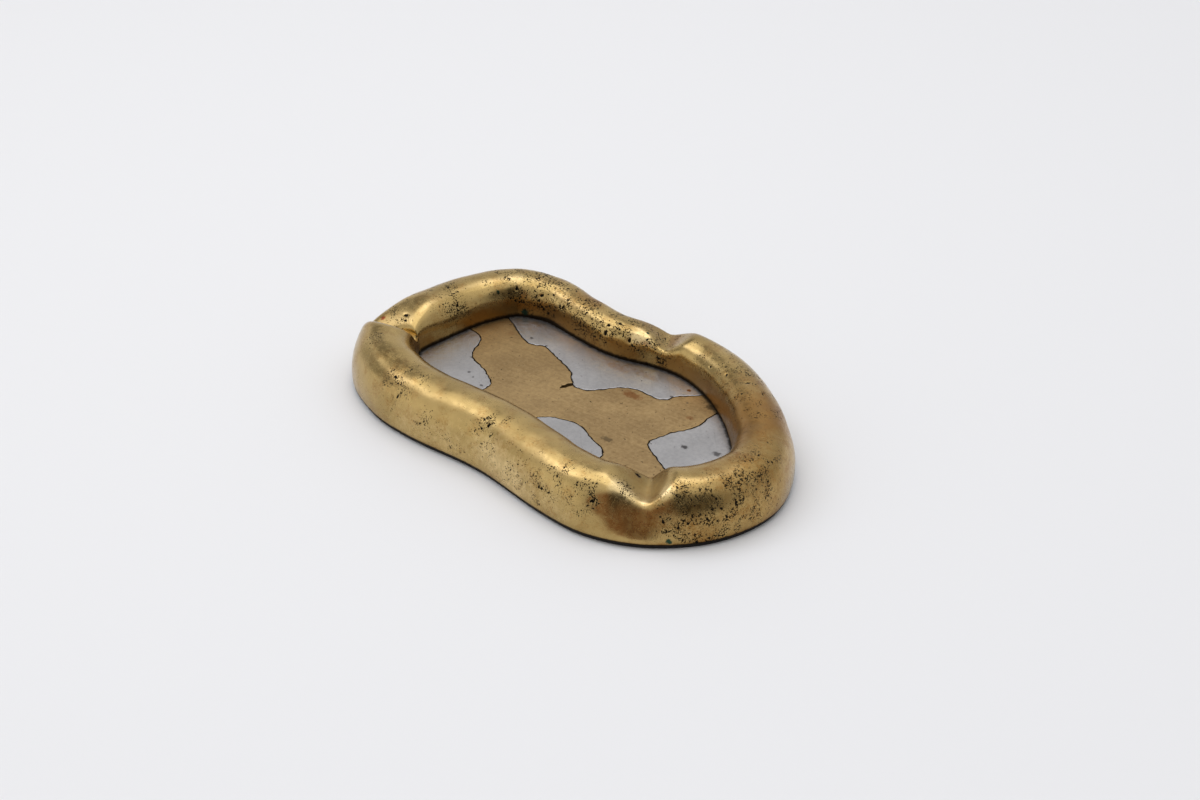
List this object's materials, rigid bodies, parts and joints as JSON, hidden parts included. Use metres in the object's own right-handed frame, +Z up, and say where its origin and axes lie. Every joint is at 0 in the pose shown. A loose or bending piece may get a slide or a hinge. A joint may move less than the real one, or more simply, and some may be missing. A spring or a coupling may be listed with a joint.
{
  "type": "ashtray",
  "caption": "Heavy cast ashtray with a thick rolled brass rim, pinched cigarette rests and a flat floor pieced from brass and aluminium, on a felted base.",
  "frame": {"origin": "centre of the footprint's box, on the surface that the ashtray stands on", "axes": "+X along the tray's length, +Z up, with the straighter long side towards -Y"},
  "size_m": [0.224, 0.134, 0.0272],
  "materials": {
    "cast_brass": "polished sand casting with pits and brown tarnish",
    "floor_brass": "dull brushed brass with brown stains",
    "aluminium": "brushed and scratched",
    "backing_brass": "raw sheet",
    "felt": "matt black felt"
  },
  "bodies": {
    "root": {"rim_casting": "cast_brass", "floor_web_brass": "floor_brass", "floor_inlay_left": "aluminium", "floor_inlay_back": "aluminium", "floor_inlay_front": "aluminium", "floor_inlay_right": "aluminium", "backing_plate": "backing_brass", "base_felt": "felt"}
  },
  "joints": []
}
